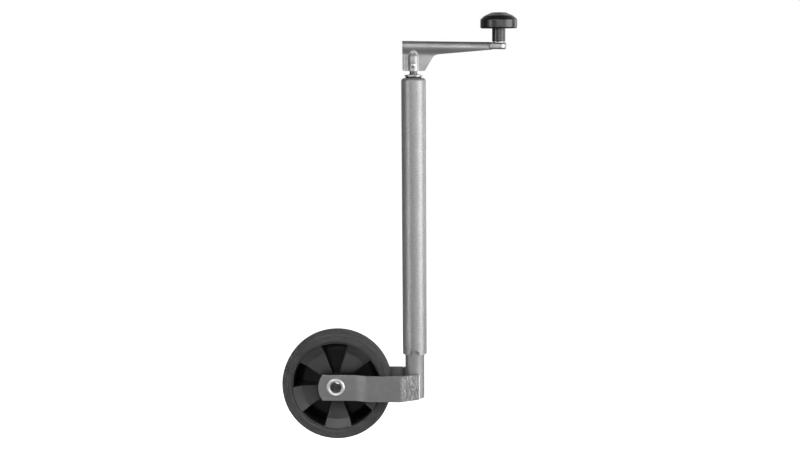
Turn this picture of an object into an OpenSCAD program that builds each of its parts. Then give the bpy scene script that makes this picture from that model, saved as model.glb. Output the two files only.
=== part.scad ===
// Trailer jockey wheel: a clamped outer tube, an inner tube that a crank and
// screw drive up and down, a fork welded to the inner tube, and a solid-tyred
// wheel on a hollow axle. The origin is on the tubes' axis, halfway up the
// outer tube. +X points from the axis to the crank knob, the wheel trails at -X.

/* [Outer tube] */
// Outside diameter of the outer tube, which the trailer clamp grips
outer_tube_d = 48; // [47:0.5:50]
// Wall of the outer tube
outer_tube_wall = 2.5; // [2.3:0.1:2.6]
// Length of the outer tube
outer_tube_len = 548; // [520:1:580]
// Radius of the rolled shoulder at its top
shoulder_r = 6; // [5:0.5:7]
// Width of the round notches in its lower edge
notch_w = 20; // [16:1:22]
// Height of those notches
notch_h = 11; // [9:1:12]

/* [Inner tube] */
// Outside diameter of the inner tube
inner_tube_d = 38; // [37.5:0.1:38.4]
// Wall of the inner tube
inner_tube_wall = 2.5; // [2.3:0.1:2.7]
// Length of the inner tube
inner_tube_len = 466; // [450:1:480]
// How far it stands out below the outer tube
inner_tube_drop = 90.5; // [88:0.5:100]

/* [Screw] */
// Outside diameter of the screw's thread
thread_d = 20; // [19:0.5:20.5]
// Diameter of the screw's plain neck
neck_d = 15; // [14:0.5:16]
// Lowest point of the thread
thread_bottom = -148; // [-150:1:-148]

/* [Fork] */
// Distance from the tubes' axis back to the wheel's axle
trail = 156.5; // [155:0.5:160]
// Height of the flat bars
bar_h = 52; // [50:1:54]
// Thickness of the flat bars
bar_t = 5; // [4:0.5:5.5]
// Clear width between the bars at the wheel's tyre
fork_gap = 71; // [69:1:74]
// Clear width between the bars at the axle
axle_gap = 55; // [54:1:57]

/* [Wheel] */
// Outside diameter of the tyre
tyre_d = 220; // [214:1:224]
// Width of the tyre
tyre_w = 50; // [46:1:52]
// Outside diameter of the plastic rim
rim_d = 180; // [178:1:182]
// Number of flat spokes on each face of the rim
spokes = 5; // [4:1:6]
// Angle of one spoke's middle, up from +X
spoke_angle = 272; // [0:1:359]
// Outside diameter of the hollow axle
axle_d = 26; // [25:0.5:27]
// Bore of the hollow axle
axle_bore_d = 21.8; // [20:0.2:22]

/* [Crank] */
// Distance from the tubes' axis to the knob's axis
crank_throw = 165; // [160:1:170]
// Thickness of the pressed sheet
sheet_t = 2.5; // [2:0.5:3]
// Outside diameter of the socket round the screw's neck
socket_d = 20.4; // [20:0.2:21]

/* [Knob] */
// Diameter of the knob's rim
knob_d = 71; // [66:1:74]
// Diameter of the knob's stem
stem_d = 25.6; // [24:0.2:26]

/* [Hidden] */
$fn = 96;

fit_gap = 0.06;           // radial clearance of a running fit
face_gap = 0.3;           // axial clearance between pieces that turn past each other
over = 1;                 // how far a cutting tool runs past a face

outer_r = outer_tube_d / 2;
outer_bore_r = outer_r - outer_tube_wall;
tube_top = outer_tube_len / 2;
tube_bottom = -tube_top;
cap_hole_r = 13.5;

inner_r = inner_tube_d / 2;
inner_bore_r = inner_r - inner_tube_wall;
inner_bottom = tube_bottom - inner_tube_drop;
inner_top = inner_bottom + inner_tube_len;

thread_r = thread_d / 2;
neck_r = neck_d / 2;
spigot_r = 6;
spigot_len = 10;

bush_flange_r = 15.5;
bush_flange_t = 2.7;
race_t = 2.6;
race_r = 17;
ball_r = 3;
ball_circle_r = 12.6;
balls = 12;
ball_gap = 0.05;          // between a ball and each race
race_top = tube_top - outer_tube_wall;
ball_z = race_top - race_t - ball_gap - ball_r;
lower_race_top = ball_z - ball_r - ball_gap;
collar_h = 12;
collar_r = 14.5;
collar_top = lower_race_top - race_t;
thread_top = collar_top - collar_h;
collar_pin_r = 2.5;

washer_r = 17.7;
washer_t = 3;
washer_bottom = tube_top + bush_flange_t + face_gap;
clip_t = 1.6;

nut_flange_t = 4;
nut_h = 28;
nut_top = inner_top + face_gap + nut_flange_t;
snap_ring_t = 3;

bar_bottom = inner_bottom;
bar_top = bar_bottom + bar_h;
axle_z = inner_bottom + 27;
bar_end_r = 44;           // radius of the bars' free ends
bar_end_x = -trail - 35;
bend_angle = 27;          // how far the bars turn in to meet the tube
joggle_from = -125;
joggle_to = -82;
axle_r = axle_d / 2;
axle_bore_r = axle_bore_d / 2;
flare_r = 17.6;
flare_t = 3;

rim_r = rim_d / 2;
rim_wall = 3;
rim_half_w = 22.5;
web_z = 15;               // outer face of the flat spokes, from mid-wheel
web_t = 3;
band_r = 70;              // where a spoke starts to rise to the rim's lip
lip_z = 21;
hub_r = 24;
sector = 180 / spokes;

hub_z = 287.5;            // lower edge of the crank's hub plate
arm_top_z = 345.3;        // crest of the crank arm above the screw
arm_tilt = 1.05;          // how far the arm droops towards the knob
fold_r = 8;
pinch_half = 3;           // half thickness where the two flanges meet
eye_top_z = 341.6;
eye_bottom_z = 328;
eye_half_w = 13;
pin_z = 299;
crank_pin_r = 3.5;
crank_pin_head_r = 5;
socket_r = socket_d / 2;
neck_top = 320;

knob_r = knob_d / 2;
stem_r = stem_d / 2;
knob_foot_z = 343;
knob_rim_bottom = 368.4;
knob_rim_top = 386.5;
knob_top = 399;
knob_edge_r = 3;
crown_r = 12.3;           // flat crown, which the cap fills
rivet_r = 5;
rivet_head_r = 8;
rivet_top = 384;

// ---------- shared shapes ----------

// A plain ring between two heights
module ring(r_out, r_in, z0, z1) {
    translate([0, 0, z0]) difference() {
        cylinder(r = r_out, h = z1 - z0);
        translate([0, 0, -over]) cylinder(r = r_in, h = z1 - z0 + 2 * over);
    }
}

// Turns a shape built about Z to lie about the wheel's axle, its top at -Y
module on_axle() {
    translate([-trail, 0, axle_z]) rotate([90, 0, 0]) children();
}

// A bar along Y, centred on the XZ plane
module cross_bar(r, half_len, x, z) {
    translate([x, 0, z]) rotate([90, 0, 0]) cylinder(r = r, h = 2 * half_len, center = true);
}

// Half section, from the axis out, of a round body with a rounded top edge
module rounded_top_section(r, z0, z1, edge) {
    translate([0, z0]) square([r, z1 - edge - z0]);
    translate([0, z1 - edge - over]) square([r - edge, edge + over]);
    translate([r - edge, z1 - edge]) circle(r = edge, $fn = 64);
}

// Points on an arc, for outlines
function arc(cx, cy, r, a0, a1, n) =
    [for (i = [0:n]) let (a = a0 + (a1 - a0) * i / n) [cx + r * cos(a), cy + r * sin(a)]];

// ---------- outer tube and its bearings ----------

module outer_tube() {
    notch_r = (pow(notch_w / 2, 2) + pow(notch_h, 2)) / (2 * notch_h);
    color("silver") difference() {
        rotate_extrude() difference() {
            rounded_top_section(outer_r, tube_bottom, tube_top, shoulder_r);
            rounded_top_section(outer_bore_r, tube_bottom - over,
                                tube_top - outer_tube_wall, shoulder_r - outer_tube_wall);
            translate([0, tube_top - shoulder_r]) square([cap_hole_r, 2 * shoulder_r]);
        }
        cross_bar(notch_r, outer_r + over, 0, tube_bottom + notch_h - notch_r);
    }
}

module top_bush() {
    color("dimgray") difference() {
        union() {
            translate([0, 0, race_top]) cylinder(r = cap_hole_r, h = outer_tube_wall);
            translate([0, 0, tube_top]) cylinder(r = bush_flange_r, h = bush_flange_t);
        }
        translate([0, 0, race_top - over]) cylinder(r = neck_r + fit_gap, h = 10);
    }
}

module upper_race() {
    color("lightsteelblue") ring(race_r, neck_r + 1, race_top - race_t, race_top);
}

module lower_guide_bush() {
    color("ivory") ring(outer_bore_r, inner_r + fit_gap, tube_bottom + 14, tube_bottom + 54);
}

module bearing_cage() {
    cage_t = 2.4;
    color("goldenrod") difference() {
        ring(ball_circle_r + 3.9, ball_circle_r - 3.9, ball_z - cage_t / 2, ball_z + cage_t / 2);
        for (i = [0:balls - 1])
            rotate([0, 0, i * 360 / balls]) translate([ball_circle_r, 0, ball_z - cage_t])
                cylinder(r = ball_r + 0.03, h = 2 * cage_t, $fn = 48);
    }
}

module bearing_balls() {
    color("silver") for (i = [0:balls - 1])
        rotate([0, 0, i * 360 / balls]) translate([ball_circle_r, 0, ball_z])
            sphere(r = ball_r, $fn = 32);
}

// ---------- screw and what turns with it ----------

module spindle() {
    chamfer = 1.5;
    color("gray") difference() {
        union() {
            translate([0, 0, thread_bottom]) cylinder(r1 = thread_r - chamfer, r2 = thread_r, h = chamfer);
            translate([0, 0, thread_bottom + chamfer])
                cylinder(r = thread_r, h = thread_top - thread_bottom - chamfer);
            translate([0, 0, thread_top - over]) cylinder(r = neck_r, h = neck_top - thread_top + over);
            translate([0, 0, thread_bottom - spigot_len]) cylinder(r = spigot_r, h = spigot_len + over);
        }
        cross_bar(crank_pin_r, neck_r + over, 0, pin_z);
        cross_bar(collar_pin_r, neck_r + over, 0, collar_top - collar_h / 2);
    }
}

module lower_race() {
    color("lightsteelblue") ring(race_r, neck_r, lower_race_top - race_t, lower_race_top);
}

module spindle_collar() {
    color("gray") difference() {
        ring(collar_r, neck_r, thread_top, collar_top);
        cross_bar(collar_pin_r, collar_r + over, 0, collar_top - collar_h / 2);
    }
}

module collar_pin() {
    color("darkgray") cross_bar(collar_pin_r, collar_r - 0.5, 0, collar_top - collar_h / 2);
}

module top_washer() {
    color("gainsboro") ring(washer_r, neck_r, washer_bottom, washer_bottom + washer_t);
}

module retaining_clip() {
    clip_bottom = washer_bottom + washer_t;
    color("black") difference() {
        ring(neck_r + 2.6, neck_r, clip_bottom, clip_bottom + clip_t);
        translate([0, 0, clip_bottom - over]) linear_extrude(clip_t + 2 * over)
            polygon([[0, 0], [-20, 12], [-20, -12]]);
    }
}

module end_stop_washer() {
    color("silver") ring(14, spigot_r, thread_bottom - 3, thread_bottom);
}

module end_stop_nut() {
    hex_r = 10.4;
    color("silver") translate([0, 0, thread_bottom - spigot_len]) difference() {
        cylinder(r = hex_r, h = spigot_len - 3, $fn = 6);
        translate([0, 0, -over]) cylinder(r = spigot_r, h = spigot_len);
    }
}

// ---------- crank ----------

// Cross-section of the pressed arm: Y across, X of the sketch is the height
// below the crest. inset shrinks it to the inside of the sheet.
module arm_section(inset) {
    depth = 70;
    fold_centre = fold_r;
    pinch_at = 25;
    half = max(pinch_half - inset, 0.01);
    translate([0, -fold_centre]) circle(r = fold_r - inset, $fn = 64);
    polygon([
        [-(fold_r - inset), -fold_centre], [fold_r - inset, -fold_centre],
        [half, -pinch_at], [-half, -pinch_at]
    ]);
    if (inset == 0)
        translate([-pinch_half, -depth]) square([2 * pinch_half, depth - pinch_at + over]);
}

// The arm's section drawn out along X
module arm_bar(inset, x0, x1) {
    translate([0, 0, arm_top_z]) rotate([0, arm_tilt, 0]) translate([x0, 0, 0])
        rotate([90, 0, 90]) linear_extrude(x1 - x0) arm_section(inset);
}

// Side view of the arm and hub plate: X along, Y of the sketch is the height
module arm_outline() {
    left = -21.3;
    corner = 4;
    polygon(concat(
        arc(left + corner, hub_z + corner, corner, 180, 270, 6),
        arc(20, hub_z + 2.5, 2.5, 270, 330, 4),
        arc(51, 302, 17.6, 148, 94, 8),
        [[150, 327.6], [150, 360], [left, 360]]
    ));
}

module eye_outline(inset) {
    half = eye_half_w - inset;
    translate([crank_throw - 9, 0]) circle(r = half);
    translate([crank_throw + 2, 0]) circle(r = half);
    translate([crank_throw - 9, -half]) square([11, 2 * half]);
}

module crank_arm() {
    sheet_inset = sheet_t;
    color("silver") difference() {
        union() {
            intersection() {
                arm_bar(0, -30, 152);
                rotate([90, 0, 0]) linear_extrude(60, center = true) arm_outline();
            }
            translate([0, 0, hub_z]) cylinder(r = socket_r, h = 31);
            translate([0, 0, hub_z + 31]) cylinder(r1 = socket_r, r2 = 5, h = 13);
            translate([0, 0, eye_bottom_z]) linear_extrude(eye_top_z - eye_bottom_z) eye_outline(0);
        }
        arm_bar(sheet_inset, 12, 150);
        translate([0, 0, hub_z - over]) cylinder(r = neck_r, h = neck_top - hub_z + over);
        translate([0, 0, eye_bottom_z - over])
            linear_extrude(eye_top_z - eye_bottom_z - sheet_t + over) eye_outline(sheet_t);
        translate([crank_throw, 0, 320]) cylinder(r = rivet_r, h = 40);
        cross_bar(crank_pin_r, socket_r + over, 0, pin_z);
    }
}

module crank_pin() {
    head_out = socket_r + 2.2;
    color("gainsboro") union() {
        cross_bar(crank_pin_r, socket_r, 0, pin_z);
        difference() {
            cross_bar(crank_pin_head_r, head_out, 0, pin_z);
            translate([0, 0, pin_z - 10]) cylinder(r = socket_r, h = 20);
        }
    }
}

module knob_rivet() {
    head_z = eye_top_z - sheet_t - 2.5;
    color("silver") translate([crank_throw, 0, 0]) union() {
        translate([0, 0, head_z]) cylinder(r = rivet_head_r, h = 2.5);
        translate([0, 0, head_z]) cylinder(r = rivet_r, h = rivet_top - head_z);
        translate([0, 0, rivet_top - 2.5]) cylinder(r = rivet_head_r, h = 2.5);
    }
}

module knob_washer() {
    color("gainsboro") translate([crank_throw, 0, 0])
        ring(11.5, rivet_r, eye_top_z, eye_top_z + 1.1);
}

// ---------- knob ----------

module knob_section() {
    difference() {
        union() {
            translate([0, knob_foot_z]) square([stem_r, knob_rim_bottom - knob_foot_z + over]);
            translate([0, knob_rim_bottom]) square([knob_r - knob_edge_r, knob_edge_r]);
            translate([knob_r - knob_edge_r, knob_rim_bottom + knob_edge_r])
                circle(r = knob_edge_r, $fn = 48);
            translate([0, knob_rim_bottom + knob_edge_r])
                square([knob_r, knob_rim_top - knob_rim_bottom - knob_edge_r]);
            polygon([[0, knob_rim_top], [knob_r, knob_rim_top], [crown_r, knob_top], [0, knob_top]]);
        }
        translate([stem_r + 2.5, knob_rim_bottom - over]) square([knob_r - stem_r - 6, 14]);
    }
}

module knob() {
    ribs = 6;
    color("#202020") translate([crank_throw, 0, 0]) difference() {
        union() {
            rotate_extrude() knob_section();
            for (i = [0:ribs - 1])
                rotate([0, 0, i * 360 / ribs]) translate([stem_r, -1, knob_rim_bottom + 2])
                    cube([knob_r - stem_r - 2, 2, 13]);
        }
        translate([0, 0, knob_foot_z - over]) cylinder(r = rivet_r + fit_gap, h = 60);
        translate([0, 0, rivet_top - 2.5 - face_gap]) cylinder(r = rivet_head_r + 1, h = 30);
        translate([0, 0, knob_top - 3]) cylinder(r = crown_r - 1.5, h = 10);
    }
}

module knob_cap() {
    color("#282828") translate([crank_throw, 0, knob_top - 3])
        cylinder(r = crown_r - 1.5, h = 3);
}

// ---------- nut ----------

module spindle_nut() {
    color("darkgoldenrod") difference() {
        union() {
            translate([0, 0, nut_top - nut_flange_t]) cylinder(r = inner_r, h = nut_flange_t);
            translate([0, 0, nut_top - nut_h]) cylinder(r = inner_bore_r - fit_gap, h = nut_h);
        }
        translate([0, 0, nut_top - nut_h - over]) cylinder(r = thread_r + fit_gap, h = nut_h + 2 * over);
    }
}

// ---------- inner tube and fork ----------

module inner_tube() {
    color("silver") ring(inner_r, inner_bore_r, inner_bottom, inner_top);
}

module upper_guide_ring() {
    color("ivory") ring(outer_bore_r - 0.3, inner_r, inner_top - 32, inner_top - 4);
}

module nut_snap_ring() {
    snap_top = nut_top - nut_h - face_gap;
    color("dimgray") ring(inner_bore_r, thread_r + 2, snap_top - snap_ring_t, snap_top);
}

// The welded end lies where the turned-in part just touches the inner tube
touch = [inner_r * sin(bend_angle), inner_r * cos(bend_angle)];
bar_weld_end = touch - 2.5 * [cos(bend_angle), -sin(bend_angle)];

// Inner face of one bar in plan, from its free end to its welded end
bend_x = -28;
joggle_steps = 10;
bar_path = concat(
    [[bar_end_x - 2, axle_gap / 2]],
    [for (i = [0:joggle_steps])
        let (t = i / joggle_steps)
        [joggle_from + (joggle_to - joggle_from) * t,
         axle_gap / 2 + (fork_gap - axle_gap) / 2 * (1 - cos(180 * t)) / 2]],
    arc(bend_x - 3, fork_gap / 2 - 14, 14, 90, 90 - bend_angle, 5),
    [bar_weld_end]
);

// Unit normal at point i of a path, pointing away from the tubes' axis plane
function path_normal(p, i) =
    let (a = p[max(i - 1, 0)], b = p[min(i + 1, len(p) - 1)], d = b - a)
    [-d[1], d[0]] / norm(d);

module bar_plan() {
    n = len(bar_path);
    outer_face = [for (i = [n - 1:-1:0]) bar_path[i] + bar_t * path_normal(bar_path, i)];
    polygon(concat(bar_path, outer_face));
}

// The bar at +Y, with its rounded free end and the axle's hole
module fork_bar() {
    difference() {
        intersection() {
            translate([0, 0, bar_bottom]) linear_extrude(bar_h) bar_plan();
            union() {
                cross_bar(bar_end_r, 60, bar_end_x + bar_end_r, (bar_bottom + bar_top) / 2);
                translate([bar_end_x + bar_end_r, -60, bar_bottom - over])
                    cube([200, 120, bar_h + 2 * over]);
            }
        }
        cross_bar(axle_r, 60, -trail, axle_z);
        translate([0, 0, bar_bottom - over]) cylinder(r = inner_r, h = bar_h + 2 * over);
    }
}

module fork_bar_left() {
    color("gray") fork_bar();
}

module fork_bar_right() {
    color("gray") mirror([0, 1, 0]) fork_bar();
}

// One upright bead between a bar's end and the tube
module fork_weld() {
    bead_r = 3.4;
    at = bar_weld_end + [2.2, 0.6];
    difference() {
        translate([at[0], at[1], bar_bottom + 2]) cylinder(r = bead_r, h = bar_h - 3);
        translate([0, 0, bar_bottom - over]) cylinder(r = inner_r, h = bar_h + 2 * over);
        translate([0, 0, bar_bottom - over]) linear_extrude(bar_h + 2 * over) bar_plan();
    }
}

module fork_welds() {
    color("lightgray") {
        fork_weld();
        mirror([0, 1, 0]) fork_weld();
    }
}

module axle_tube() {
    face = axle_gap / 2 + bar_t;
    color("gainsboro") on_axle() difference() {
        union() {
            cylinder(r = axle_r, h = 2 * face, center = true);
            for (side = [0, 1]) mirror([0, 0, side]) rotate_extrude() {
                translate([0, face]) square([flare_r - flare_t, flare_t]);
                intersection() {
                    translate([flare_r - flare_t, face]) circle(r = flare_t, $fn = 48);
                    translate([0, face]) square([flare_r, flare_t]);
                }
            }
        }
        cylinder(r = axle_bore_r, h = 100, center = true);
    }
}

// ---------- wheel ----------

// Section of a flat spoke and the band that rises to the lip
module web_section() {
    reach = rim_r - rim_wall / 2;
    rise = lip_z - web_z;
    polygon([
        [hub_r - 2, web_z - web_t], [band_r, web_z - web_t], [reach, web_z - web_t + rise],
        [reach, lip_z], [band_r, web_z], [hub_r - 2, web_z]
    ]);
}

// Upright wall between a spoke and the pocket beside it, just below their faces
module web_wall() {
    reach = rim_r - rim_wall / 2;
    flat = web_z - web_t / 4;
    lip = lip_z - web_t / 4;
    rotate([90, 0, 0]) linear_extrude(web_t, center = true) polygon([
        [hub_r - 2, -flat], [band_r, -flat], [reach, -lip],
        [reach, lip], [band_r, flat], [hub_r - 2, flat]
    ]);
}

module wheel_rim() {
    hub_half = axle_gap / 2 - face_gap;
    color("#3a3a3a") on_axle() difference() {
        union() {
            ring(rim_r, rim_r - rim_wall, -rim_half_w, rim_half_w);
            cylinder(r = hub_r, h = 2 * hub_half, center = true);
            for (i = [0:spokes - 1]) rotate([0, 0, spoke_angle + i * 360 / spokes]) {
                rotate([0, 0, -sector / 2]) {
                    rotate_extrude(angle = sector) web_section();
                    web_wall();
                }
                rotate([0, 0, sector / 2]) {
                    mirror([0, 0, 1]) rotate_extrude(angle = sector) web_section();
                    web_wall();
                }
            }
        }
        cylinder(r = axle_r + fit_gap, h = 100, center = true);
    }
}

// Half thickness of the tyre's section at distance t (-1 to 1) from its core
function tyre_y(t) = tyre_w / 2 * pow(1 - pow(abs(t), 3), 1 / 3);

module tyre() {
    core_r = rim_r + 7;
    depth = tyre_d / 2 - core_r;
    steps = 16;
    // finer steps towards the tread, where the section turns quickly
    rise = [for (i = [0:steps]) let (t0 = (rim_r - core_r) / depth) t0 + (1 - t0) * sin(90 * i / steps)];
    side = [for (t = rise) [core_r + depth * t, tyre_y(t)]];
    other_side = [for (i = [steps - 1:-1:0]) [side[i][0], -side[i][1]]];
    color("#181818") on_axle() rotate_extrude() polygon(concat(side, other_side));
}

outer_tube();
top_bush();
upper_race();
lower_guide_bush();
bearing_cage();
bearing_balls();
spindle();
lower_race();
spindle_collar();
collar_pin();
top_washer();
retaining_clip();
end_stop_washer();
end_stop_nut();
crank_arm();
crank_pin();
knob_rivet();
knob_washer();
knob();
knob_cap();
spindle_nut();
inner_tube();
upper_guide_ring();
nut_snap_ring();
fork_bar_left();
fork_bar_right();
fork_welds();
axle_tube();
wheel_rim();
tyre();
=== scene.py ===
import math

import bmesh
import bpy
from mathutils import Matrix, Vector, noise


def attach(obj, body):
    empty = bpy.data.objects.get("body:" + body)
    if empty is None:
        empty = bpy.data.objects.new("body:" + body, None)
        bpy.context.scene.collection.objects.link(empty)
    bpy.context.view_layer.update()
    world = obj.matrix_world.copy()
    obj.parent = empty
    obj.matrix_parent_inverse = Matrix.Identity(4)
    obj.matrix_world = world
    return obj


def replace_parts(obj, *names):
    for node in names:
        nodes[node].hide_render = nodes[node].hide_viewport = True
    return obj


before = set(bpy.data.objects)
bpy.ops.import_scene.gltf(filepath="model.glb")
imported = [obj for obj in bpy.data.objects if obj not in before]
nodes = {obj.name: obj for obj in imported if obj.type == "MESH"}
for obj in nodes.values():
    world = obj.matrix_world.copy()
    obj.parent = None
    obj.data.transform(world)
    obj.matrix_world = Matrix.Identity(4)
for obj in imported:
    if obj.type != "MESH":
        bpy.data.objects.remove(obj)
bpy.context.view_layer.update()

MM = 0.001

# Sizes that several pieces share, in mm in the row frame. All shapes below are in mm too.
AXLE = (-156.5, 0.0, -337.5)
TUBE_TOP, TUBE_BOTTOM = 274.0, -274.0
TUBE_RADIUS, TUBE_BORE = 24.0, 21.5
LEG_TOP, LEG_BOTTOM = 101.5, -364.5
LEG_RADIUS, LEG_BORE = 19.0, 16.5
BAR_HEIGHT, BAR_THICKNESS = 52.0, 5.0
RIM_RADIUS, TYRE_RADIUS = 90.0, 110.0
NECK_RADIUS, NECK_TOP = 7.5, 320.0
CROSS_PIN_Z = 299.0
KNOB_X = 165.0

# ------------------------------------------------------------------ mesh tools


def new_mesh(name, verts, faces):
    """A mesh object from points in mm, with doubles merged and normals outward."""
    mesh = bpy.data.meshes.new(name)
    mesh.from_pydata([(x * MM, y * MM, z * MM) for x, y, z in verts], [], faces)
    bm = bmesh.new()
    bm.from_mesh(mesh)
    bmesh.ops.remove_doubles(bm, verts=bm.verts, dist=2e-6)
    bmesh.ops.recalc_face_normals(bm, faces=bm.faces)
    bm.to_mesh(mesh)
    bm.free()
    obj = bpy.data.objects.new(name, mesh)
    bpy.context.scene.collection.objects.link(obj)
    return obj


def bake_modifiers(obj):
    """Applies every modifier to the mesh."""
    depsgraph = bpy.context.evaluated_depsgraph_get()
    mesh = bpy.data.meshes.new_from_object(obj.evaluated_get(depsgraph))
    obj.modifiers.clear()
    old = obj.data
    obj.data = mesh
    bpy.data.meshes.remove(old)


def combine(obj, tool, operation):
    """Boolean with tool, which is used up."""
    mod = obj.modifiers.new("combine", "BOOLEAN")
    mod.operation = operation
    mod.solver = "EXACT"
    mod.object = tool
    bake_modifiers(obj)
    bpy.data.objects.remove(tool)


def soften(obj, width, segments=3, angle=40):
    """Rounds the edges sharper than angle by width mm."""
    mod = obj.modifiers.new("soften", "BEVEL")
    mod.width = width * MM
    mod.segments = segments
    mod.limit_method = "ANGLE"
    mod.angle_limit = math.radians(angle)
    mod.use_clamp_overlap = True
    bake_modifiers(obj)


def rounded(corners, steps=6):
    """Turns the corners (a, b, radius) of a closed outline into arcs; no radius stays sharp."""
    out = []
    count = len(corners)
    for i, corner in enumerate(corners):
        p = Vector(corner[:2])
        radius = corner[2] if len(corner) > 2 else 0
        if radius == 0:
            out.append((p.x, p.y))
            continue
        a = (Vector(corners[i - 1][:2]) - p).normalized()
        b = (Vector(corners[(i + 1) % count][:2]) - p).normalized()
        half = a.angle(b) / 2
        centre = p + (a + b).normalized() * (radius / math.sin(half))
        start = p + a * (radius / math.tan(half)) - centre
        end = p + b * (radius / math.tan(half)) - centre
        t0 = math.atan2(start.y, start.x)
        turn = (math.atan2(end.y, end.x) - t0 + math.pi) % (2 * math.pi) - math.pi
        for k in range(steps + 1):
            t = t0 + turn * k / steps
            out.append((centre.x + radius * math.cos(t), centre.y + radius * math.sin(t)))
    return out


def mirrored(half):
    """Adds the mirror image, below height 0, of half a profile that starts and ends there."""
    return half + [(c[0], -c[1], *c[2:]) for c in half[::-1]][1:-1]


def lathe(name, profile, steps=128, closed=True, place=lambda x, y, z: (x, y, z)):
    """Turns (radius, height) points about Z; place then moves each point."""
    verts, faces = [], []
    count = len(profile)
    for i in range(steps):
        t = 2 * math.pi * i / steps
        verts += [place(r * math.cos(t), r * math.sin(t), h) for r, h in profile]
    for i in range(steps):
        a, b = i * count, (i + 1) % steps * count
        for k in range(count if closed else count - 1):
            n = (k + 1) % count
            faces.append((a + k, b + k, b + n, a + n))
    return new_mesh(name, verts, faces)


def about_axle(x, y, z):
    """From a wheel lying flat, its face up, to the wheel on its axle, its face at -Y."""
    return (AXLE[0] + x, AXLE[1] - z, AXLE[2] + y)


def across(at_x, at_z):
    """From about Z to about a line along Y through (at_x, at_z)."""
    return lambda x, y, z: (at_x + x, -z, at_z + y)


def at_knob(x, y, z):
    """From about the tubes' axis to about the knob's."""
    return (KNOB_X + x, y, z)


def prism(name, outline, low, high, place=lambda x, y, z: (x, y, z)):
    """Extrudes a plan outline from low to high."""
    count = len(outline)
    verts = [place(x, y, low) for x, y in outline] + [place(x, y, high) for x, y in outline]
    faces = [tuple(range(count)), tuple(range(2 * count - 1, count - 1, -1))]
    faces += [(i, (i + 1) % count, count + (i + 1) % count, count + i) for i in range(count)]
    return new_mesh(name, verts, faces)


def cylinder(name, radius, low, high, steps=96, place=lambda x, y, z: (x, y, z)):
    return lathe(name, [(0, low), (radius, low), (radius, high), (0, high)], steps, False, place)


def drill(obj, name, radius, reach, steps, place):
    """A round hole, reach mm to each side of the middle plane, along the line that place gives."""
    combine(obj, cylinder(name, radius, -reach, reach, steps, place), "DIFFERENCE")


def piece(obj, body, material, replaces=(), sharp=32):
    """Finishes a piece: shading, material, body and the CAD nodes it stands for."""
    obj.data.polygons.foreach_set("use_smooth", [True] * len(obj.data.polygons))
    obj.data.set_sharp_from_angle(angle=math.radians(sharp))
    weighted = obj.modifiers.new("weighted", "WEIGHTED_NORMAL")
    weighted.keep_sharp = True
    bake_modifiers(obj)
    obj.data.materials.clear()
    obj.data.materials.append(material)
    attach(obj, body)
    if replaces:
        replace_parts(obj, *replaces)
    return obj


def smoothstep(low, high, value):
    t = min(max((value - low) / (high - low), 0.0), 1.0)
    return t * t * (3 - 2 * t)


# ------------------------------------------------------------------- materials


def colour_ramp(tree, value, stops):
    """Maps a value through (position, grey or colour) stops."""
    node = tree.nodes.new("ShaderNodeValToRGB")
    points = node.color_ramp.elements
    while len(points) < len(stops):
        points.new(0.5)
    for point, (at, grey) in zip(points, stops):
        point.position = at
        colour = grey if isinstance(grey, tuple) else (grey, grey, grey)
        point.color = (*colour, 1)
    tree.links.new(value, node.inputs["Fac"])
    return node.outputs["Color"]


def colour_mix(tree, kind, factor, a, b):
    """Blends two colours; factor is a number or an output."""
    node = tree.nodes.new("ShaderNodeMix")
    node.data_type = "RGBA"
    node.blend_type = kind
    if isinstance(factor, (int, float)):
        node.inputs[0].default_value = factor
    else:
        tree.links.new(factor, node.inputs[0])
    tree.links.new(a, node.inputs[6])
    tree.links.new(b, node.inputs[7])
    return node.outputs[2]


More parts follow.
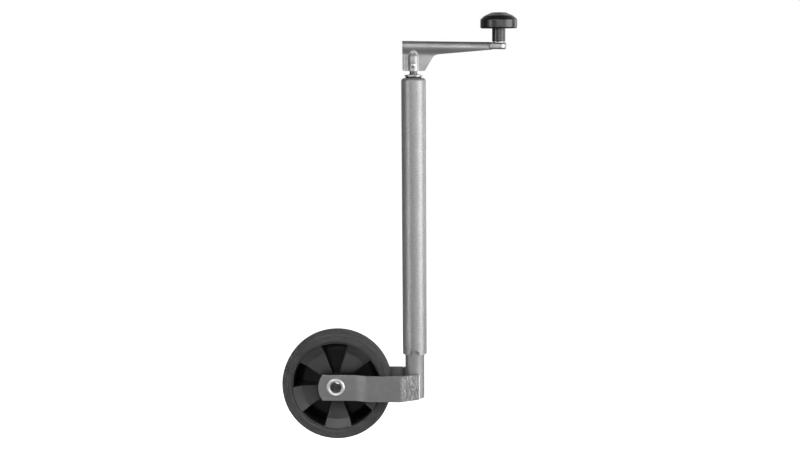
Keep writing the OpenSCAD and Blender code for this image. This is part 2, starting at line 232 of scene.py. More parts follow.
class Nodes:
    """Short calls for building one material's node tree, in row-frame metres."""

    def __init__(self, name, metallic, roughness):
        self.material = bpy.data.materials.new(name)
        self.material.use_nodes = True
        self.tree = self.material.node_tree
        self.shader = self.tree.nodes["Principled BSDF"]
        self.shader.inputs["Metallic"].default_value = metallic
        self.shader.inputs["Roughness"].default_value = roughness
        self.coords = self.tree.nodes.new("ShaderNodeTexCoord").outputs["Object"]

    def link(self, out, into):
        self.tree.links.new(out, into)

    def scaled(self, x, y, z):
        """The coordinates stretched, for streaks."""
        node = self.tree.nodes.new("ShaderNodeMapping")
        node.inputs["Scale"].default_value = (x, y, z)
        self.link(self.coords, node.inputs["Vector"])
        return node.outputs["Vector"]

    def noise(self, scale, detail=3.0, rough=0.5, coords=None):
        node = self.tree.nodes.new("ShaderNodeTexNoise")
        node.inputs["Scale"].default_value = scale
        node.inputs["Detail"].default_value = detail
        node.inputs["Roughness"].default_value = rough
        self.link(coords or self.coords, node.inputs["Vector"])
        return node.outputs["Fac"]

    def cells(self, scale, coords=None):
        node = self.tree.nodes.new("ShaderNodeTexVoronoi")
        node.feature = "SMOOTH_F1"
        node.inputs["Scale"].default_value = scale
        self.link(coords or self.coords, node.inputs["Vector"])
        return node.outputs["Distance"]

    def fade(self, low, high, value):
        """From 0 where the value is at low to 1 where it is at high."""
        node = self.tree.nodes.new("ShaderNodeMapRange")
        node.inputs["From Min"].default_value = low
        node.inputs["From Max"].default_value = high
        self.link(value, node.inputs["Value"])
        return node.outputs[0]

    def ramp(self, value, stops):
        return colour_ramp(self.tree, value, stops)

    def mix(self, kind, factor, a, b):
        return colour_mix(self.tree, kind, factor, a, b)

    def times(self, a, b):
        return self.mix("MULTIPLY", 1.0, a, b)

    def colour(self, out):
        self.link(out, self.shader.inputs["Base Color"])

    def roughness(self, out):
        self.link(out, self.shader.inputs["Roughness"])

    def bumps(self, *layers):
        """Stacks (height output, depth in mm, strength) bump layers."""
        normal = None
        for height, depth, strength in layers:
            node = self.tree.nodes.new("ShaderNodeBump")
            node.inputs["Distance"].default_value = depth * MM
            node.inputs["Strength"].default_value = strength
            self.link(height, node.inputs["Height"])
            if normal:
                self.link(normal, node.inputs["Normal"])
            normal = node.outputs["Normal"]
        self.link(normal, self.shader.inputs["Normal"])


def hammered_paint():
    """Silver hammertone: soft raised cells in metallic paint, darker between them."""
    n = Nodes("hammered_paint", 0.7, 0.44)
    cells = n.cells(520)
    blotch = n.noise(420, 3.0, 0.55)
    wide = n.noise(18, 2.0)
    mottled = n.ramp(blotch, [(0.3, 0.27), (0.5, 0.33), (0.72, 0.40)])
    edges = n.ramp(cells, [(0.1, 1.0), (0.62, 0.86)])
    tone = n.ramp(wide, [(0.3, 0.93), (0.7, 1.0)])
    n.colour(n.times(n.mix("MULTIPLY", 0.9, mottled, edges), tone))
    n.roughness(n.ramp(blotch, [(0.3, 0.50), (0.7, 0.40)]))
    n.bumps((cells, 0.07, 0.35), (blotch, 0.06, 0.4))
    return n.material


def zinc(name, low, high, rough, streak=(1, 1, 1), bump=0.3):
    """Zinc plating: cloudy grey with fine grain, drawn out along the streak axes."""
    n = Nodes(name, 1.0, rough)
    stretched = n.scaled(*streak)
    cloud = n.noise(55, 4.0, 0.6, stretched)
    grain = n.noise(900, 2.0, 0.7, stretched)
    broad = n.noise(14, 2.0)
    tone = n.ramp(cloud, [(0.3, low), (0.72, high)])
    speck = n.ramp(grain, [(0.3, 0.84), (0.7, 1.0)])
    stain = n.ramp(broad, [(0.25, 0.88), (0.6, 1.0)])
    n.colour(n.times(n.times(tone, speck), stain))
    n.roughness(n.ramp(cloud, [(0.3, rough + 0.08), (0.7, rough - 0.05)]))
    n.bumps((grain, 0.03, bump), (cloud, 0.15, 0.25))
    return n.material


def bar_zinc():
    """Zinc on flat bar, with a paler, rougher zone that the welding left near the tube."""
    n = Nodes("zinc_bar", 1.0, 0.44)
    split = n.tree.nodes.new("ShaderNodeSeparateXYZ")
    n.link(n.coords, split.inputs[0])
    welded = n.fade(-34 * MM, -18 * MM, split.outputs["X"])
    cloud = n.noise(45, 4.0, 0.6)
    grain = n.noise(950, 2.0, 0.7)
    flakes = n.noise(1.0, 4.0, 0.75, n.scaled(420, 420, 150))
    plain = n.ramp(cloud, [(0.3, 0.27), (0.72, 0.34)])
    marked = n.ramp(flakes, [(0.34, 0.10), (0.52, 0.20), (0.66, 0.44)])
    tone = n.mix("MIX", welded, plain, marked)
    n.colour(n.times(tone, n.ramp(grain, [(0.3, 0.86), (0.7, 1.0)])))
    n.roughness(n.mix("MIX", welded, n.ramp(cloud, [(0.3, 0.50), (0.7, 0.40)]),
                      n.ramp(flakes, [(0.3, 0.60), (0.7, 0.42)])))
    n.bumps((grain, 0.03, 0.3), (cloud, 0.2, 0.25), (flakes, 0.05, 0.3))
    return n.material


def axle_zinc():
    """Bright flared ends, worn by the flaring tool, and a bore darkened with painted shade."""
    n = Nodes("zinc_axle", 1.0, 0.36)
    centre = n.tree.nodes.new("ShaderNodeVectorMath")
    centre.operation = "DISTANCE"
    n.link(n.scaled(1, 0, 1), centre.inputs[0])
    centre.inputs[1].default_value = (AXLE[0] * MM, 0, AXLE[2] * MM)
    outside = n.fade(10.8 * MM, 12.2 * MM, centre.outputs["Value"])
    cloud = n.noise(60, 4.0, 0.6)
    grain = n.noise(900, 2.0, 0.7)
    # painted shade: near-black colour inside the bore, where shadow falls
    bore_shade = n.ramp(cloud, [(0.3, 0.05), (0.7, 0.10)])
    bright = n.ramp(cloud, [(0.3, 0.66), (0.7, 0.78)])
    tone = n.mix("MIX", outside, bore_shade, bright)
    n.colour(n.times(tone, n.ramp(grain, [(0.3, 0.86), (0.7, 1.0)])))
    n.roughness(n.mix("MIX", outside, n.ramp(cloud, [(0.3, 0.62), (0.7, 0.54)]),
                      n.ramp(cloud, [(0.3, 0.48), (0.7, 0.40)])))
    n.link(outside, n.shader.inputs["Metallic"])
    n.bumps((grain, 0.03, 0.15), (cloud, 0.1, 0.15))
    return n.material


def weld_metal():
    """Bright, spattered weld metal with darker, burnt patches."""
    n = Nodes("weld_metal", 1.0, 0.4)
    spatter = n.noise(420, 4.0, 0.7)
    burn = n.noise(90, 2.0)
    tone = n.ramp(spatter, [(0.3, 0.42), (0.55, 0.72), (0.75, 0.95)])
    n.colour(n.times(tone, n.ramp(burn, [(0.3, 0.7), (0.65, 1.0)])))
    n.roughness(n.ramp(spatter, [(0.3, 0.5), (0.7, 0.28)]))
    n.bumps((spatter, 0.3, 0.8))
    return n.material


def plastic(name, low, high, rough, grain_scale, bump, specular=0.5, painted_shade=False):
    """Moulded plastic: fine grain and faint cloudiness, with painted shade darkening deep places."""
    n = Nodes(name, 0.0, rough)
    n.shader.inputs["Specular IOR Level"].default_value = specular
    grain = n.noise(grain_scale, 2.0, 0.6)
    cloud = n.noise(30, 3.0, 0.6)
    tone = n.ramp(cloud, [(0.3, low), (0.7, high)])
    dust = n.ramp(grain, [(0.35, 0.85), (0.7, 1.0)])
    shade = n.times(tone, dust)
    if painted_shade:
        # painted shade: the colour darkens where nearby surfaces hem a point in, standing in for
        # shadow in deep pockets
        openness = n.tree.nodes.new("ShaderNodeAmbientOcclusion")
        openness.samples = 8
        openness.inputs["Distance"].default_value = 40 * MM
        shade = n.times(shade, n.ramp(openness.outputs["AO"], [(0.52, 0.0), (0.95, 1.0)]))
    n.colour(shade)
    n.roughness(n.ramp(cloud, [(0.3, rough - 0.05), (0.7, rough + 0.07)]))
    n.bumps((grain, 0.05, bump), (cloud, 0.2, 0.15))
    return n.material


def rubber():
    """Solid rubber: matt, with chalky patches and a fine pitted skin."""
    n = Nodes("tyre_rubber", 0.0, 0.68)
    n.shader.inputs["Specular IOR Level"].default_value = 0.22
    pits = n.noise(1400, 2.0, 0.7)
    chalk = n.noise(45, 5.0, 0.65)
    broad = n.noise(9, 2.0)
    tone = n.ramp(chalk, [(0.3, 0.030), (0.75, 0.052)])
    n.colour(n.times(tone, n.ramp(broad, [(0.3, 0.85), (0.7, 1.0)])))
    n.roughness(n.ramp(chalk, [(0.3, 0.60), (0.7, 0.76)]))
    n.bumps((pits, 0.05, 0.5), (chalk, 0.1, 0.2))
    return n.material


def turned_metal(name, low, high, rough):
    """Machined metal: fine turning marks stacked along Z."""
    n = Nodes(name, 1.0, rough)
    marks = n.noise(1.0, 2.0, 0.6, n.scaled(30, 30, 2600))
    cloud = n.noise(70, 3.0, 0.6)
    n.colour(n.mix("MULTIPLY", 0.5, n.ramp(cloud, [(0.3, low), (0.7, high)]),
                   n.ramp(marks, [(0.3, 0.7), (0.7, 1.0)])))
    n.roughness(n.ramp(marks, [(0.3, rough + 0.1), (0.7, rough - 0.05)]))
    n.bumps((marks, 0.03, 0.4))
    return n.material


paint = hammered_paint()
zinc_tube = zinc("zinc_tube", 0.29, 0.38, 0.58, (1, 1, 0.08))
zinc_bar = bar_zinc()
zinc_pressing = zinc("zinc_pressing", 0.36, 0.46, 0.45, (0.4, 1, 1))
zinc_axle = axle_zinc()
bright_zinc = zinc("bright_zinc", 0.62, 0.76, 0.28, bump=0.12)
weld = weld_metal()
knob_plastic = plastic("knob_plastic", 0.004, 0.008, 0.30, 1500, 0.4, 0.70)
rim_plastic = plastic("rim_plastic", 0.027, 0.038, 0.46, 1100, 0.4, 0.30, painted_shade=True)
dark_plastic = plastic("dark_plastic", 0.012, 0.02, 0.5, 1500, 0.3)
nylon = plastic("white_nylon", 0.55, 0.66, 0.45, 1200, 0.3)
tyre_rubber = rubber()
dark_steel = turned_metal("dark_steel", (0.10, 0.10, 0.105), (0.17, 0.17, 0.175), 0.36)
ground_steel = turned_metal("ground_steel", (0.42, 0.43, 0.44), (0.55, 0.55, 0.56), 0.26)
brass = turned_metal("brass", (0.52, 0.36, 0.14), (0.66, 0.48, 0.21), 0.32)

# ------------------------------------------------------- outer and inner tubes


def build_outer_tube():
    """Tube with a rolled-over cap and two round notches in its lower edge."""
    wall = TUBE_RADIUS - TUBE_BORE
    cap_hole = 13.5
    notch_radius, notch_height = 10.05, 11
    profile = rounded([
        (TUBE_RADIUS, TUBE_BOTTOM, 0.5), (TUBE_RADIUS, TUBE_TOP, 6), (cap_hole, TUBE_TOP, 0.6),
        (cap_hole, TUBE_TOP - wall, 0.3), (TUBE_BORE, TUBE_TOP - wall, 3.5),
        (TUBE_BORE, TUBE_BOTTOM, 0.5),
    ], steps=8)
    obj = lathe("tube_outer_painted", profile, 160)
    drill(obj, "notch", notch_radius, 40, 96, across(0, TUBE_BOTTOM + notch_height - notch_radius))
    soften(obj, 0.45, 3, 55)
    piece(obj, "mast", paint, ["outer_tube"])


def build_leg():
    profile = rounded([
        (LEG_RADIUS, LEG_BOTTOM, 0.5), (LEG_RADIUS, LEG_TOP, 0.4),
        (LEG_BORE, LEG_TOP, 0.4), (LEG_BORE, LEG_BOTTOM, 0.5),
    ], steps=4)
    piece(lathe("tube_inner_zinc", profile, 128), "leg", zinc_tube, ["inner_tube"])


build_outer_tube()
build_leg()

# ------------------------------------------------------------------------ fork

BEND = math.radians(27)             # how far a bar turns in, to lie against the inner tube
AT_WHEEL, AT_TUBE = 27.5, 35.5      # from the middle plane to a bar's inner face
JOG_START, JOG_LENGTH = -125, 43    # where a bar swings out from the one to the other
BEND_X, BEND_RADIUS = -31, 14
BAR_END, END_RADIUS = -191.5, 44
WELD_GAP = 2.5


def bar_inner_face():
    """Plan of the inner face of the bar at +Y, from its free end to its weld."""
    points = [(BAR_END - 2, AT_WHEEL), (-160.0, AT_WHEEL)]
    for i in range(25):
        t = i / 24
        swing = (AT_TUBE - AT_WHEEL) * (1 - math.cos(math.pi * t)) / 2
        points.append((JOG_START + JOG_LENGTH * t, AT_WHEEL + swing))
    points.append((-50, AT_TUBE))
    bend_y = AT_TUBE - BEND_RADIUS
    for i in range(11):
        t = math.radians(90) - BEND * i / 10
        points.append((BEND_X + BEND_RADIUS * math.cos(t), bend_y + BEND_RADIUS * math.sin(t)))
    touch = Vector((LEG_RADIUS * math.sin(BEND), LEG_RADIUS * math.cos(BEND)))
    end = touch - WELD_GAP * Vector((math.cos(BEND), -math.sin(BEND)))
    points.append((end.x, end.y))
    return points


def build_bar(name, side, node):
    """A flat bar on edge, bent in plan, with a rounded free end and the axle's hole."""
    inner, outer = [Vector(p) for p in bar_inner_face()], []
    for i, p in enumerate(inner):
        d = (inner[min(i + 1, len(inner) - 1)] - inner[max(i - 1, 0)]).normalized()
        outer.append(p + BAR_THICKNESS * Vector((-d.y, d.x)))
    outline = [(p.x, side * p.y) for p in inner + outer[::-1]]
    low, high = LEG_BOTTOM, LEG_BOTTOM + BAR_HEIGHT
    bar = prism(name, outline, low, high)
    keep = cylinder("end_round", END_RADIUS, -60, 60, 256,
                    across(BAR_END + END_RADIUS, low + BAR_HEIGHT / 2))
    rest = prism("end_rest", [(-148, -70), (40, -70), (40, 70), (-148, 70)], low - 5, high + 5)
    combine(keep, rest, "UNION")
    combine(bar, keep, "INTERSECT")
    drill(bar, "axle_hole", 13.05, 60, 96, across(AXLE[0], AXLE[2]))
    soften(bar, 1.2, 4, 50)
    piece(bar, "leg", zinc_bar, [node])


def build_weld(name, side):
    """An upright bead in ripples, thicker where it starts and stops."""
    verts, faces = [], []
    rings, around = 90, 20
    low, high = LEG_BOTTOM + 1.2, LEG_BOTTOM + BAR_HEIGHT - 0.6
    for i in range(rings + 1):
        t = i / rings
        z = low + (high - low) * t
        cap = math.sqrt(max(0.0, 1 - max(0.0, 1 - t * 18, t * 18 - 17) ** 2))
        blob = 0.9 * math.exp(-((t - 0.04) * 16) ** 2) + 1.1 * math.exp(-((t - 0.95) * 15) ** 2)
        ripple = 0.28 * math.sin(z * 2.1)
        wander = 0.45 * noise.noise(Vector((side * 7.0, 0.0, z * 0.35)))
        radius = (2.5 + blob + ripple) * cap
        for k in range(around):
            a = 2 * math.pi * k / around
            rough = 0.25 * noise.noise(Vector((3 * math.cos(a), 3 * math.sin(a), z * 0.8)))
            r = max(radius + rough * cap, 0.02)
            verts.append((8.0 + wander + r * math.cos(a),
                          side * (18.9 + 0.3 * wander + r * math.sin(a)), z))
    for i in range(rings):
        for k in range(around):
            n = (k + 1) % around
            a, b = i * around, (i + 1) * around
            faces.append((a + k, a + n, b + n, b + k))
    faces.append(tuple(range(around)))
    faces.append(tuple(range(rings * around, (rings + 1) * around)))
    return piece(new_mesh(name, verts, faces), "leg", weld, sharp=60)


build_bar("fork_bar_back", 1, "fork_bar_left")
build_bar("fork_bar_front", -1, "fork_bar_right")
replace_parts(build_weld("fork_weld_back", 1), "fork_welds")
build_weld("fork_weld_front", -1)


def build_axle():
    """A tube flared over the outer face of each bar."""
    half = [(13.0, 0), (13.0, 32.55, 0.2), (18.2, 32.55, 0.3), (18.2, 34.2, 1.3),
            (16.4, 36.0, 1.8), (12.8, 36.0, 2.2), (10.9, 33.4, 3.0), (10.9, 0)]
    piece(lathe("axle_flared", rounded(mirrored(half)), 128, True, about_axle), "leg",
          zinc_axle, ["axle_tube"])


build_axle()

# ----------------------------------------------------------------------- wheel

SPOKE_ANGLE = 272       # degrees; the middle of a spoke on the face at -Y
PLATES = 10             # spokes, on the two faces by turns


def build_rim():
    """One ring of plate, stepping from face to face ten times, with its barrel and hub."""
    stations = [22, 28, 36, 44, 52, 60, 66, 70, 71.2, 76, 82, 87.5]
    half_angle, steps = 17.2, 12

    def height(r):
        # flat near the hub, then rising towards the barrel
        return 12.7 + 9.0 * max(0.0, r - 70) / 18.5

    columns = []
    for i in range(PLATES):
        face = 1 if i % 2 == 0 else -1
        middle = SPOKE_ANGLE + 360 / PLATES * i
        for k in range(steps + 1):
            columns.append((math.radians(middle - half_angle + 2 * half_angle * k / steps), face))
    verts, faces = [], []
    for angle, face in columns:
        verts += [(r * math.cos(angle), r * math.sin(angle), face * height(r)) for r in stations]
    count = len(stations)
    for i in range(len(columns)):
        a, b = i * count, (i + 1) % len(columns) * count
        faces += [(a + k, b + k, b + k + 1, a + k + 1) for k in range(count - 1)]
    web = new_mesh("rim_black", [about_axle(*v) for v in verts], faces)
    thick = web.modifiers.new("thick", "SOLIDIFY")
    thick.thickness = 3 * MM
    thick.offset = 0
    thick.use_even_offset = True
    bake_modifiers(web)
    soften(web, 0.55, 2, 35)
    barrel = lathe("barrel", rounded([
        (RIM_RADIUS, -22.5, 0.9), (RIM_RADIUS, 22.5, 0.9), (87.6, 22.5, 0.8),
        (86.6, 20.2, 0.6), (86.6, -20.2, 0.6), (87.6, -22.5, 0.8),
    ], steps=4), 192, True, about_axle)
    hub = lathe("hub", rounded([
        (13.06, -27.2, 0.5), (13.06, 27.2, 0.5), (23.4, 27.2, 1.2), (24, 15, 0), (24, -15, 0),
        (23.4, -27.2, 1.2),
    ], steps=4), 128, True, about_axle)
    combine(web, barrel, "UNION")
    combine(web, hub, "UNION")
    piece(web, "wheel", rim_plastic, ["wheel_rim"], sharp=28)


def build_tyre():
    """Solid tyre: ribbed sides, a small step at the shoulder and a nearly flat tread."""
    half = [(RIM_RADIUS, 0), (RIM_RADIUS, 22.9, 0.5), (91.6, 23.9, 0.8)]
    for groove in (94.2, 97.4, 100.6):
        half += [(groove - 0.7, 24.4, 0.25), (groove, 23.8, 0.25), (groove + 0.7, 24.55, 0.25)]
    half += [(103.9, 25.0, 0.5), (104.5, 24.5, 0.3), (105.1, 24.3, 0.3), (105.9, 24.2, 0.8),
             (108.2, 21.0, 3.0), (109.5, 14.5, 4.0), (109.95, 7.0, 6.0), (TYRE_RADIUS, 0)]
    profile = rounded(mirrored(half), steps=5)
    piece(lathe("tyre_solid", profile, 224, True, about_axle), "wheel", tyre_rubber,
          ["tyre"], sharp=35)


build_rim()
build_tyre()

# ----------------------------------------------------------------------- crank

ARM_LEFT = -21.3
HUB_BOTTOM = 287.5
CREST = 345.3                           # top of the fold above the screw
TILT = math.tan(math.radians(1.05))     # the fold falls towards the knob
FOLD, RISE = 8.0, 10.5                  # the fold's half width, and its height above its middle
PINCH = 3.0                             # half the thickness where the two leaves lie together
BOSS_RADIUS = 10.2
BOSS_SHOULDER, BOSS_TIP = 316, 334


def crest_at(x):
    return CREST - TILT * x


def lower_edge(x):
    """Height of the pressing's lower edge at x."""
    corner = 4.0
    if x < ARM_LEFT + corner:
        drop = math.sqrt(max(0.0, corner ** 2 - (ARM_LEFT + corner - x) ** 2))
        return HUB_BOTTOM + corner - drop
    if x < 20.0:
        return HUB_BOTTOM
    if x < 23.0:
        return HUB_BOTTOM + 1.4 * ((x - 20.0) / 3) ** 2
    if x < 36.1:
        return 288.9 + (x - 23.0) * 1.71
    if x < 49.8:
        return 302.0 + math.sqrt(17.6 ** 2 - (x - 51.0) ** 2)
    return 319.6 + (x - 49.8) * 8.0 / 100.2


def boss_radius(z):
    """Outline of the bulge that the screw's socket makes in the pressing."""
    if z <= BOSS_SHOULDER:
        return BOSS_RADIUS
    t = min((z - BOSS_SHOULDER) / (BOSS_TIP - BOSS_SHOULDER), 1.0)
    return BOSS_RADIUS * (1 - t) ** 0.75


def half_thickness(x, z):
    """Half of the pressing's thickness at a point of its side view."""
    crest = crest_at(x)
    centre = crest - RISE
    if z > centre:
        width = FOLD * math.sqrt(max(0.0, 1 - ((z - centre) / RISE) ** 2))
    else:
        width = PINCH + (FOLD - PINCH) * (1 - smoothstep(0, 17, centre - z))
    if z < BOSS_TIP and abs(x) < 16:
        # the bulge round the screw, with a shallow groove, blended into the leaves
        bulge = math.sqrt(max(0.0, boss_radius(z) ** 2 - x * x))
        groove = 0.8 * math.exp(-(((x + 1.2) / 0.9) ** 2)) * smoothstep(303, 307, z)
        blend = 2.4 + 1.6 * smoothstep(314, 332, z)
        share = min(max(0.5 + (bulge - groove - width) / (2 * blend), 0.0), 1.0)
        width += (bulge - groove - width) * share + blend * share * (1 - share)
    if x < -10.5 and z < 322:
        # two low ridges beside the boss
        fade = 1 - smoothstep(312, 322, z)
        ridge = math.exp(-(((x + 18.4) / 1.7) ** 2)) + 0.7 * math.exp(-(((x + 13.4) / 1.4) ** 2))
        width += 0.6 * fade * ridge
    return width


def build_crank_arm():
    """A folded pressing, swept along X in closed loops, with its open end, eye and holes."""
    columns = [ARM_LEFT, -21.2, -20.9, -20.4, -19.6, -18.6, -17.3]
    columns += [-16.5 + 0.75 * i for i in range(0, 52)]
    columns += [22.5 + 1.5 * i for i in range(0, 19)]
    columns += [52.0 + 4.0 * i for i in range(0, 26)]
    rows, fold_rows = 54, 14
    verts, faces = [], []
    for x in columns:
        crest, bottom = crest_at(x), lower_edge(x)
        centre = max(crest - RISE, bottom + 0.5)
        line = [bottom + (centre - bottom) * i / rows for i in range(rows)]
        line += [centre + (crest - centre) * math.sin(math.pi / 2 * i / fold_rows)
                 for i in range(fold_rows + 1)]
        side = [(half_thickness(x, z) if i < len(line) - 1 else 0.0, z) for i, z in enumerate(line)]
        loop = [(x, 0.0, bottom + 0.9), (x, -0.25, bottom)]
        loop += [(x, -max(w, 0.3), z) for w, z in side[:-1]]
        loop += [(x, 0.0, side[-1][1])]
        loop += [(x, max(w, 0.3), z) for w, z in side[-2::-1]]
        loop += [(x, 0.25, bottom)]
        verts += loop
        count = len(loop)
    for i in range(len(columns) - 1):
        a, b = i * count, (i + 1) * count
        faces += [(a + k, b + k, b + (k + 1) % count, a + (k + 1) % count) for k in range(count)]
    faces.append(tuple(range(count)))
    faces.append(tuple(range((len(columns) - 1) * count, len(columns) * count)))
    arm = new_mesh("crank_pressing", verts, faces)

    # the fold is open at its left end
    hollow = []
    for i in range(33):
        t = math.pi * i / 32
        hollow.append((5.6 * math.cos(t), CREST - RISE + (RISE - 2.4) * math.sin(t)))
    hollow += [(-0.7, 322.0), (0.7, 322.0)]
    tool = prism("fold_hollow", hollow, -30, -11.2, lambda a, b, c: (c, a, b))
    combine(arm, tool, "DIFFERENCE")

    # flattened eye that the knob's pin goes through
    eye = []
    for sign, cx in ((1, KNOB_X + 2.0), (-1, KNOB_X - 9.0)):
        for i in range(25):
            t = math.radians(-90 + 180 * i / 24 + (0 if sign > 0 else 180))
            eye.append((cx + 13.0 * math.cos(t), 13.0 * math.sin(t)))
    cup = prism("eye", eye, 328.2, 341.6)
    soften(cup, 4.6, 8, 50)
    inner = [(KNOB_X - 3.5 + (x - KNOB_X + 3.5) * 0.80, y * 0.80) for x, y in eye]
    combine(cup, prism("eye_hollow", inner, 320.0, 339.1), "DIFFERENCE")
    combine(arm, cup, "UNION")
    combine(arm, cylinder("screw_socket", 7.52, 280.0, 320.0, 64), "DIFFERENCE")
    combine(arm, cylinder("knob_pin_hole", 5.02, 330.0, 350.0, 48, at_knob), "DIFFERENCE")
    drill(arm, "pin_hole", 3.52, 30, 48, across(0, CROSS_PIN_Z))
    piece(arm, "screw", zinc_pressing, ["crank_arm"], sharp=38)


def build_crank_pin():
    """A cross pin with a domed head at each end."""
    half = [(0, 12.9), (1.8, 12.8), (3.4, 12.2), (4.6, 11.2), (5.2, 10.2), (5.2, 9.4), (3.5, 9.4)]
    profile = half + [(r, -h) for r, h in half[::-1]]
    pin = lathe("crank_pin_domed", profile, 64, False, across(0, CROSS_PIN_Z))
    piece(pin, "screw", bright_zinc, ["crank_pin"], sharp=50)


def build_top_washer():
    profile = rounded([(7.55, 277.0, 0.3), (17.7, 277.0, 1.3), (17.7, 280.2, 1.6),
                       (7.55, 280.0, 0.3)], steps=8)
    piece(lathe("washer_dished", profile, 128), "screw", bright_zinc,
          ["top_washer"], sharp=40)


def build_spindle():
    """Left-handed trapezoidal thread on a bar, with its plain neck and end journal."""
    pitch, around = 5.0, 40
    root, major = 7.4, 10.0
    low, high = -148.0, 248.2
    turns = int((high - low) / pitch) + 3
    start = low - 1.5 * pitch
    section = [(0.0, root), (1.6, root), (2.5, major), (4.1, major)]
    verts, faces = [], []
    total = turns * around
    for t in range(total + 1):
        a = -2 * math.pi * t / around
        for offset, r in section:
            z = start + pitch * t / around + offset
            verts.append((r * math.cos(a), r * math.sin(a), z))
    for t in range(total):
        a, b = 4 * t, 4 * (t + 1)
        faces += [(a + k, b + k, b + k + 1, a + k + 1) for k in range(3)]
        if t + around < total:
            faces.append((a + 3, b + 3, b + 4 * around, a + 4 * around))
    screw = new_mesh("spindle_threaded", verts, faces)
    bm = bmesh.new()
    bm.from_mesh(screw.data)
    bmesh.ops.holes_fill(bm, edges=[e for e in bm.edges if e.is_boundary], sides=0)
    bmesh.ops.recalc_face_normals(bm, faces=bm.faces)
    bm.to_mesh(screw.data)
    bm.free()
    combine(screw, cylinder("thread_length", 10.6, low, high, 64), "INTERSECT")
    journal = lathe("journal", [(0, low - 10), (5.4, low - 10), (6, low - 9.4),
                                (6, low + 8), (0, low + 8)], 64, False)
    neck = lathe("neck", [(0, high - 8), (NECK_RADIUS, high - 8), (NECK_RADIUS, NECK_TOP - 0.6),
                          (6.9, NECK_TOP), (0, NECK_TOP)], 96, False)
    combine(screw, journal, "UNION")
    combine(screw, neck, "UNION")
    drill(screw, "pin_hole", 3.51, 30, 48, across(0, CROSS_PIN_Z))
    piece(screw, "screw", dark_steel, ["spindle"], sharp=30)


build_crank_arm()
build_crank_pin()
build_top_washer()
build_spindle()

# ------------------------------------------------------------------------ knob

STEM_RADIUS = 12.8
KNOB_RADIUS, KNOB_TOP = 35.5, 399.0
FLUTES, RIBS = 4, 6


def fluted(x, y, z):
    """Presses shallow flutes into the stem, and moves the point to the knob's axis."""
    r = math.hypot(x, y)
    if 12.0 < r < 12.9 and z < 371:
        a = math.atan2(y, x)
        away = abs((a * FLUTES / (2 * math.pi) + 0.36) % 1.0 - 0.5) * 2 * math.pi / FLUTES
        dent = 0.8 * math.exp(-((away * STEM_RADIUS / 1.4) ** 2)) * smoothstep(344, 347, z)
        x, y = x * (1 - dent / r), y * (1 - dent / r)
    return at_knob(x, y, z)


def build_knob():
    """A hollow mushroom on a stem, ribbed inside, with a round cap in its crown."""
    profile = rounded([
        (5.06, 343.0, 0.3), (12.4, 343.0, 0.8), (STEM_RADIUS, 345.0, 1.0),
        (STEM_RADIUS, 370.5, 1.6), (15.3, 381.4, 1.5), (32.0, 381.4, 1.5), (32.4, 368.6, 0.4),
        (33.6, 368.4, 0), (KNOB_RADIUS, 370.4, 3.6), (KNOB_RADIUS, 385.8, 5.0), (27.5, 392.7, 9.0),
        (13.6, KNOB_TOP, 2.2), (11.0, KNOB_TOP, 0.3), (11.0, 396.0, 0.2), (9.0, 396.0, 0.2),
        (9.0, 381.2, 0.2), (5.06, 381.2, 0.2),
    ], steps=7)
    knob = lathe("knob_mushroom", profile, 192, True, fluted)
    for i in range(RIBS):
        a = 2 * math.pi * i / RIBS + 0.3

        def turned(x, y, z, a=a):
            return (KNOB_X + x * math.cos(a) - y * math.sin(a), x * math.sin(a) + y * math.cos(a), z)

        outline = [(12.0, -0.9), (33.0, -0.9), (33.0, 0.9), (12.0, 0.9)]
        combine(knob, prism("rib", outline, 371.0, 383.0, turned), "UNION")
    piece(knob, "knob", knob_plastic, ["knob"], sharp=34)
    cap = lathe("knob_cap_disc", [
        (0, 396.05), (10.6, 396.05), (10.75, 396.3), (10.75, 398.4), (10.3, 398.85),
        (6.0, KNOB_TOP), (0, KNOB_TOP),
    ], 96, False, at_knob)
    piece(cap, "knob", knob_plastic, ["knob_cap"], sharp=50)


build_knob()

# -------------------------------------------- CAD nodes that keep their shape

KEPT = {
    "top_bush": dark_plastic,
    "retaining_clip": dark_steel,
    "upper_race": ground_steel,
    "lower_race": ground_steel,
    "lower_guide_bush": nylon,
    "upper_guide_ring": nylon,
    "bearing_cage": brass,
    "bearing_balls": ground_steel,
    "spindle_collar": dark_steel,
    "collar_pin": ground_steel,
    "end_stop_washer": bright_zinc,
    "end_stop_nut": bright_zinc,
    "knob_rivet": bright_zinc,
    "knob_washer": bright_zinc,
    "spindle_nut": brass,
    "nut_snap_ring": dark_steel,
}
for name, material in KEPT.items():
    nodes[name].data.materials.clear()
    nodes[name].data.materials.append(material)

# ---------------------------------------------------- floor, light and camera


def build_floor():
    """A pale floor, just below the wheel with the leg wound right out; it lights nothing."""
    level, reach = -670.0, 9000.0
    verts = [(x * reach, y * reach, level) for x, y in ((-1, -1), (1, -1), (1, 1), (-1, 1))]
    floor = new_mesh("floor", verts, [(0, 1, 2, 3)])
    n = Nodes("floor_pale", 0.0, 0.9)
    n.shader.inputs["Specular IOR Level"].default_value = 0.0
    n.shader.inputs["Emission Color"].default_value = (1, 1, 1, 1)
    n.shader.inputs["Emission Strength"].default_value = 0.93
    n.colour(n.ramp(n.noise(0.6, 2.0), [(0.3, 0.70), (0.7, 0.72)]))
    floor.data.materials.append(n.material)
    floor.visible_glossy = False
    floor.visible_diffuse = False
    floor.visible_shadow = False


def area_light(name, at, aim, size, power, spread=180):
    """A soft rectangular light; at, aim and size in metres, power in watts, spread in degrees."""
    data = bpy.data.lights.new(name, "AREA")
    data.spread = math.radians(spread)
    data.shape = "RECTANGLE"
    data.size, data.size_y = size
    data.energy = power
    obj = bpy.data.objects.new(name, data)
    bpy.context.scene.collection.objects.link(obj)
    obj.location = at
    obj.rotation_mode = "QUATERNION"
    obj.rotation_quaternion = (Vector(aim) - Vector(at)).to_track_quat("-Z", "Y")


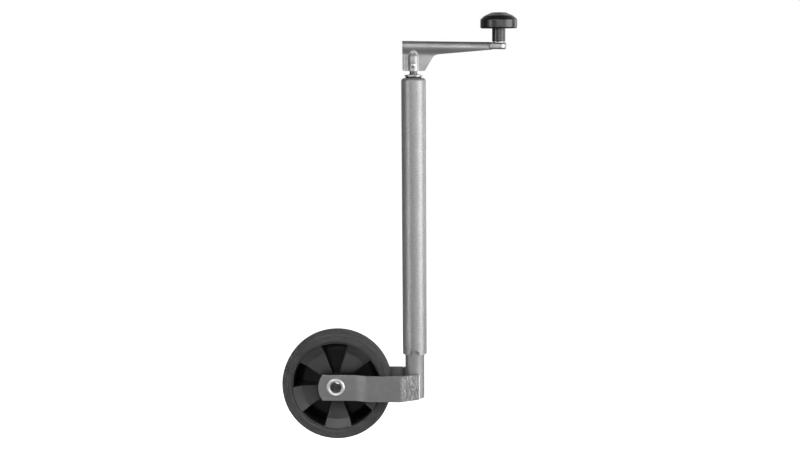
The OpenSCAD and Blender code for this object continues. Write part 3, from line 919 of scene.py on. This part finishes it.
def build_world():
    """Seen directly the world is white; what it lights and mirrors is a room of soft greys."""
    world = bpy.data.worlds.new("studio")
    bpy.context.scene.world = world
    world.use_nodes = True
    tree = world.node_tree
    new = tree.nodes.new
    room = tree.nodes["Background"]
    white = new("ShaderNodeBackground")
    coords = new("ShaderNodeTexCoord")
    split = new("ShaderNodeSeparateXYZ")
    tree.links.new(coords.outputs["Generated"], split.inputs[0])

    def along(axis, stops):
        """Greys along one axis of the direction, from -1 to 1."""
        spread = new("ShaderNodeMapRange")
        spread.inputs["From Min"].default_value = -1.0
        tree.links.new(split.outputs[axis], spread.inputs["Value"])
        return colour_ramp(tree, spread.outputs[0], stops)

    side = along("X", [(0.0, 0.5), (0.35, 0.6), (0.5, 0.95), (1.0, 1.0)])
    depth = along("Y", [(0.0, 0.62), (0.3, 0.40), (0.5, 0.16), (0.62, 0.24), (1.0, 0.70)])
    height = along("Z", [(0.0, 0.40), (0.40, 0.60), (0.50, 1.0), (0.67, 0.9),
                         (0.82, 0.6), (1.0, 0.4)])
    level = colour_mix(tree, "MULTIPLY", 1.0, side, depth)
    tree.links.new(colour_mix(tree, "MULTIPLY", 1.0, level, height), room.inputs["Color"])
    seen = new("ShaderNodeLightPath")
    pick = new("ShaderNodeMixShader")
    tree.links.new(seen.outputs["Is Camera Ray"], pick.inputs["Fac"])
    tree.links.new(room.outputs[0], pick.inputs[1])
    tree.links.new(white.outputs[0], pick.inputs[2])
    white.inputs["Color"].default_value = (1, 1, 1, 1)
    tree.links.new(pick.outputs[0], tree.nodes["World Output"].inputs["Surface"])


def build_camera():
    """Looks along +Y and a little down, with nearly the photo's perspective."""
    data = bpy.data.cameras.new("camera")
    data.lens = 55.3
    data.sensor_width = 36
    data.shift_y = -0.030
    data.clip_start, data.clip_end = 0.05, 60
    camera = bpy.data.objects.new("camera", data)
    bpy.context.scene.collection.objects.link(camera)
    camera.location = (0.090, -2.400, 0.345)
    camera.rotation_mode = "XYZ"
    camera.rotation_euler = (math.radians(90 - 7.406), math.radians(0.364), math.radians(2.762))
    bpy.context.scene.camera = camera


build_floor()
build_world()
area_light("key_right", (2.4, -0.95, 0.10), (0, 0, -0.05), (2.0, 2.6), 70)
area_light("fill_right", (1.5, -2.4, 0.0), (0, 0, -0.1), (0.9, 2.6), 9)
area_light("strip_left", (-1.9, -1.5, 0.10), (0, 0, -0.05), (0.40, 2.6), 20)
area_light("front_low", (0.2, -3.0, 0.62), (0, 0, 0.2), (2.2, 0.7), 14)
area_light("top_soft", (-0.9, -1.9, 1.7), (0, 0, -0.1), (1.6, 1.0), 8)
area_light("wheel_top", (-0.45, -1.4, 1.3), (-0.15, 0, -0.36), (0.5, 0.5), 0.9, spread=24)
area_light("back_high", (0.4, 2.2, 1.9), (0, 0, 0), (1.6, 1.0), 4)
area_light("back_right", (2.3, 1.6, 0.2), (0, 0, 0), (1.0, 2.2), 17)
build_camera()
bpy.context.scene.view_settings.view_transform = "Standard"
